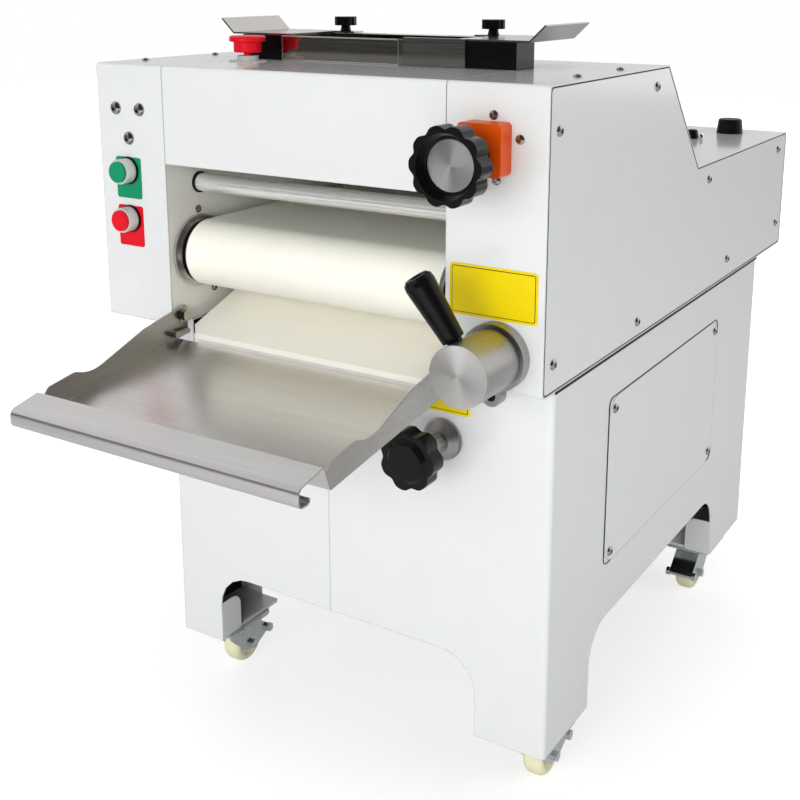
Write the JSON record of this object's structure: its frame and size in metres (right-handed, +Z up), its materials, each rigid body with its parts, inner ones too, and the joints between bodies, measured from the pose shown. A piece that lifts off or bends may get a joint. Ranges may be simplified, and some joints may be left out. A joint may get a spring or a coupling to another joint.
{
  "type": "dough moulder",
  "caption": "Electric dough moulder on casters: hopper and sheeting rolls over a conveyor belt that rolls dough on a pressure board and out to a front tray.",
  "frame": {"origin": "on the floor, under the middle of the box round the machine", "axes": "+X to the right seen from the front, +Y from the front to the back, +Z up"},
  "size_m": [0.6064, 1.115, 0.8704],
  "materials": {
    "white_paint": "gloss white paint",
    "black_paint": "satin black paint",
    "zinc": "bright zinc plate",
    "nylon": "cream nylon",
    "fastener": "bright stainless",
    "stainless": "brushed",
    "polished_stainless": "polished",
    "machined_steel": "machined",
    "roll_plastic": "white, non-stick",
    "belt": "cream conveyor belt",
    "board": "cream board",
    "black_plastic": "gloss black",
    "black_rubber": "matt",
    "orange_plastic": "gloss orange",
    "green_plastic": "gloss green",
    "red_plastic": "gloss red",
    "bezel_metal": "satin",
    "motor_paint": "grey motor paint"
  },
  "bodies": {
    "frame": {"base_shell_left": "white_paint", "base_shell_right": "white_paint", "base_deck": "black_paint", "motor_shelf": "black_paint", "caster_plates": "zinc", "access_panel": "white_paint", "panel_screws": "fastener", "side_plate_left": "white_paint", "side_plate_right": "white_paint", "left_box": "white_paint", "right_box": "white_paint", "left_side_cover": "white_paint", "right_side_cover": "white_paint", "top_cover": "white_paint", "rear_hood": "white_paint", "cross_bars": "stainless", "bearing_rings": "stainless", "conveyor_belt": "belt", "return_guide": "stainless", "hopper": "polished_stainless", "hopper_blocks": "black_plastic", "indicator_block": "orange_plastic", "cam_flange": "stainless", "knob_flange": "stainless", "button_plates": "green_plastic", "button_bezels": "bezel_metal", "tray_pins": "fastener", "motor": "motor_paint", "drive_belts": "black_rubber", "cable_gland": "black_plastic", "deck_stops": "black_rubber"},
    "handwheel": {"handwheel": "black_plastic", "handwheel_spindle": "stainless"},
    "roll_carriage": {"roll_carriage": "machined_steel"},
    "front_roll": {"front_roll": "roll_plastic"},
    "rear_roll": {"rear_roll": "roll_plastic"},
    "jackshaft": {"jackshaft": "machined_steel"},
    "belt_roller_front": {"belt_roller_front": "machined_steel"},
    "belt_roller_rear": {"belt_roller_rear": "machined_steel"},
    "motor_pulley": {"motor_pulley": "machined_steel"},
    "cam_lever": {"cam_lever": "stainless", "lever_grip": "black_plastic"},
    "pressure_board": {"pressure_board": "board"},
    "star_knob": {"star_knob": "black_plastic"},
    "tray": {"tray": "stainless"},
    "start_button": {"start_button": "green_plastic"},
    "stop_button": {"stop_button": "red_plastic"},
    "estop_head": {"estop_head": "red_plastic"},
    "hopper_guide_left": {"hopper_guide_left": "polished_stainless"},
    "hopper_guide_right": {"hopper_guide_right": "polished_stainless"},
    "thumb_knob_left": {"thumb_knobs_left": "black_plastic"},
    "thumb_knob_right": {"thumb_knobs_right": "black_plastic"},
    "caster_fork_fl": {"caster_fork_fl": "zinc"},
    "caster_wheel_fl": {"caster_wheel_fl": "nylon"},
    "caster_fork_fr": {"caster_fork_fr": "zinc"},
    "caster_wheel_fr": {"caster_wheel_fr": "nylon"},
    "caster_fork_rl": {"caster_fork_rl": "zinc"},
    "caster_wheel_rl": {"caster_wheel_rl": "nylon"},
    "caster_fork_rr": {"caster_fork_rr": "zinc"},
    "caster_wheel_rr": {"caster_wheel_rr": "nylon"}
  },
  "joints": [
    {"name": "belt_drive_spin", "type": "hinge", "parent": "frame", "child": "belt_roller_rear", "pos_m": [0, 0.3125, 0.592], "axis": [1, 0, 0], "continuous": true},
    {"name": "belt_front_spin", "type": "hinge", "parent": "frame", "child": "belt_roller_front", "pos_m": [0, -0.2555, 0.592], "axis": [1, 0, 0], "continuous": true},
    {"name": "motor_spin", "type": "hinge", "parent": "frame", "child": "motor_pulley", "pos_m": [0, 0.1225, 0.252], "axis": [1, 0, 0], "continuous": true},
    {"name": "jackshaft_spin", "type": "hinge", "parent": "frame", "child": "jackshaft", "pos_m": [0, -0.04988, 0.68134], "axis": [1, 0, 0], "continuous": true},
    {"name": "rear_roll_spin", "type": "hinge", "parent": "frame", "child": "rear_roll", "pos_m": [0, -0.0745, 0.749], "axis": [1, 0, 0], "continuous": true},
    {"name": "front_roll_spin", "type": "hinge", "parent": "roll_carriage", "child": "front_roll", "pos_m": [0, -0.1505, 0.749], "axis": [1, 0, 0], "continuous": true},
    {"name": "handwheel_turn", "type": "hinge", "parent": "frame", "child": "handwheel", "pos_m": [0.236, -0.3075, 0.749], "axis": [0, 1, 0], "range_deg": [-720, 720]},
    {"name": "roll_gap_slide", "type": "slide", "parent": "frame", "child": "roll_carriage", "axis": [0, 1, 0], "range_m": [-0.004, 0.004]},
    {"name": "cam_lever_turn", "type": "hinge", "parent": "frame", "child": "cam_lever", "pos_m": [0.249, -0.3075, 0.546], "axis": [0, 1, 0], "range_deg": [0, 60]},
    {"name": "pressure_board_tilt", "type": "hinge", "parent": "frame", "child": "pressure_board", "pos_m": [0, 0.2825, 0.5327], "axis": [1, 0, 0], "range_deg": [0, 0.9753]},
    {"name": "star_knob_turn", "type": "hinge", "parent": "frame", "child": "star_knob", "pos_m": [0.165, -0.3075, 0.426], "axis": [0, 1, 0], "range_deg": [-360, 0]},
    {"name": "tray_lift", "type": "hinge", "parent": "frame", "child": "tray", "pos_m": [0, -0.2935, 0.518], "axis": [-1, 0, 0], "range_deg": [0, 50]},
    {"name": "start_press", "type": "slide", "parent": "frame", "child": "start_button", "axis": [0, 1, 0], "range_m": [0, 0.003], "stiffness_N_per_m": 800},
    {"name": "stop_press", "type": "slide", "parent": "frame", "child": "stop_button", "axis": [0, 1, 0], "range_m": [0, 0.003], "stiffness_N_per_m": 800},
    {"name": "estop_press", "type": "slide", "parent": "frame", "child": "estop_head", "axis": [0, 0, -1], "range_m": [0, 0.003]},
    {"name": "guide_left_slide", "type": "slide", "parent": "frame", "child": "hopper_guide_left", "axis": [1, 0, 0], "range_m": [0, 0.06]},
    {"name": "guide_right_slide", "type": "slide", "parent": "frame", "child": "hopper_guide_right", "axis": [-1, 0, 0], "range_m": [0, 0.06]},
    {"name": "thumb_left_turn", "type": "hinge", "parent": "hopper_guide_left", "child": "thumb_knob_left", "pos_m": [-0.112, -0.0535, 0.82], "axis": [0, 0, 1], "range_deg": [0, 720]},
    {"name": "thumb_right_turn", "type": "hinge", "parent": "hopper_guide_right", "child": "thumb_knob_right", "pos_m": [0.103, -0.0535, 0.82], "axis": [0, 0, 1], "range_deg": [0, 720]},
    {"name": "caster_swivel_fl", "type": "hinge", "parent": "frame", "child": "caster_fork_fl", "pos_m": [-0.198, -0.2175, 0], "axis": [0, 0, 1], "continuous": true},
    {"name": "caster_spin_fl", "type": "hinge", "parent": "caster_fork_fl", "child": "caster_wheel_fl", "pos_m": [-0.198, -0.1975, 0.027], "axis": [1, 0, 0], "continuous": true},
    {"name": "caster_swivel_fr", "type": "hinge", "parent": "frame", "child": "caster_fork_fr", "pos_m": [0.259, -0.2175, 0], "axis": [0, 0, 1], "continuous": true},
    {"name": "caster_spin_fr", "type": "hinge", "parent": "caster_fork_fr", "child": "caster_wheel_fr", "pos_m": [0.259, -0.1975, 0.027], "axis": [1, 0, 0], "continuous": true},
    {"name": "caster_swivel_rl", "type": "hinge", "parent": "frame", "child": "caster_fork_rl", "pos_m": [-0.198, 0.3435, 0], "axis": [0, 0, 1], "continuous": true},
    {"name": "caster_spin_rl", "type": "hinge", "parent": "caster_fork_rl", "child": "caster_wheel_rl", "pos_m": [-0.198, 0.3235, 0.027], "axis": [1, 0, 0], "continuous": true},
    {"name": "caster_swivel_rr", "type": "hinge", "parent": "frame", "child": "caster_fork_rr", "pos_m": [0.259, 0.3435, 0], "axis": [0, 0, 1], "continuous": true},
    {"name": "caster_spin_rr", "type": "hinge", "parent": "caster_fork_rr", "child": "caster_wheel_rr", "pos_m": [0.259, 0.3235, 0.027], "axis": [1, 0, 0], "continuous": true}
  ],
  "couplings": [
    {"joint": "belt_front_spin", "follows": "belt_drive_spin", "ratio": 1},
    {"joint": "motor_spin", "follows": "belt_drive_spin", "ratio": 1.875},
    {"joint": "jackshaft_spin", "follows": "belt_drive_spin", "ratio": 1},
    {"joint": "rear_roll_spin", "follows": "belt_drive_spin", "ratio": -1},
    {"joint": "front_roll_spin", "follows": "belt_drive_spin", "ratio": 1},
    {"joint": "handwheel_turn", "follows": "roll_gap_slide", "rad_per_m": 3141.5},
    {"joint": "pressure_board_tilt", "follows": "cam_lever_turn", "ratio": 0.016255}
  ]
}
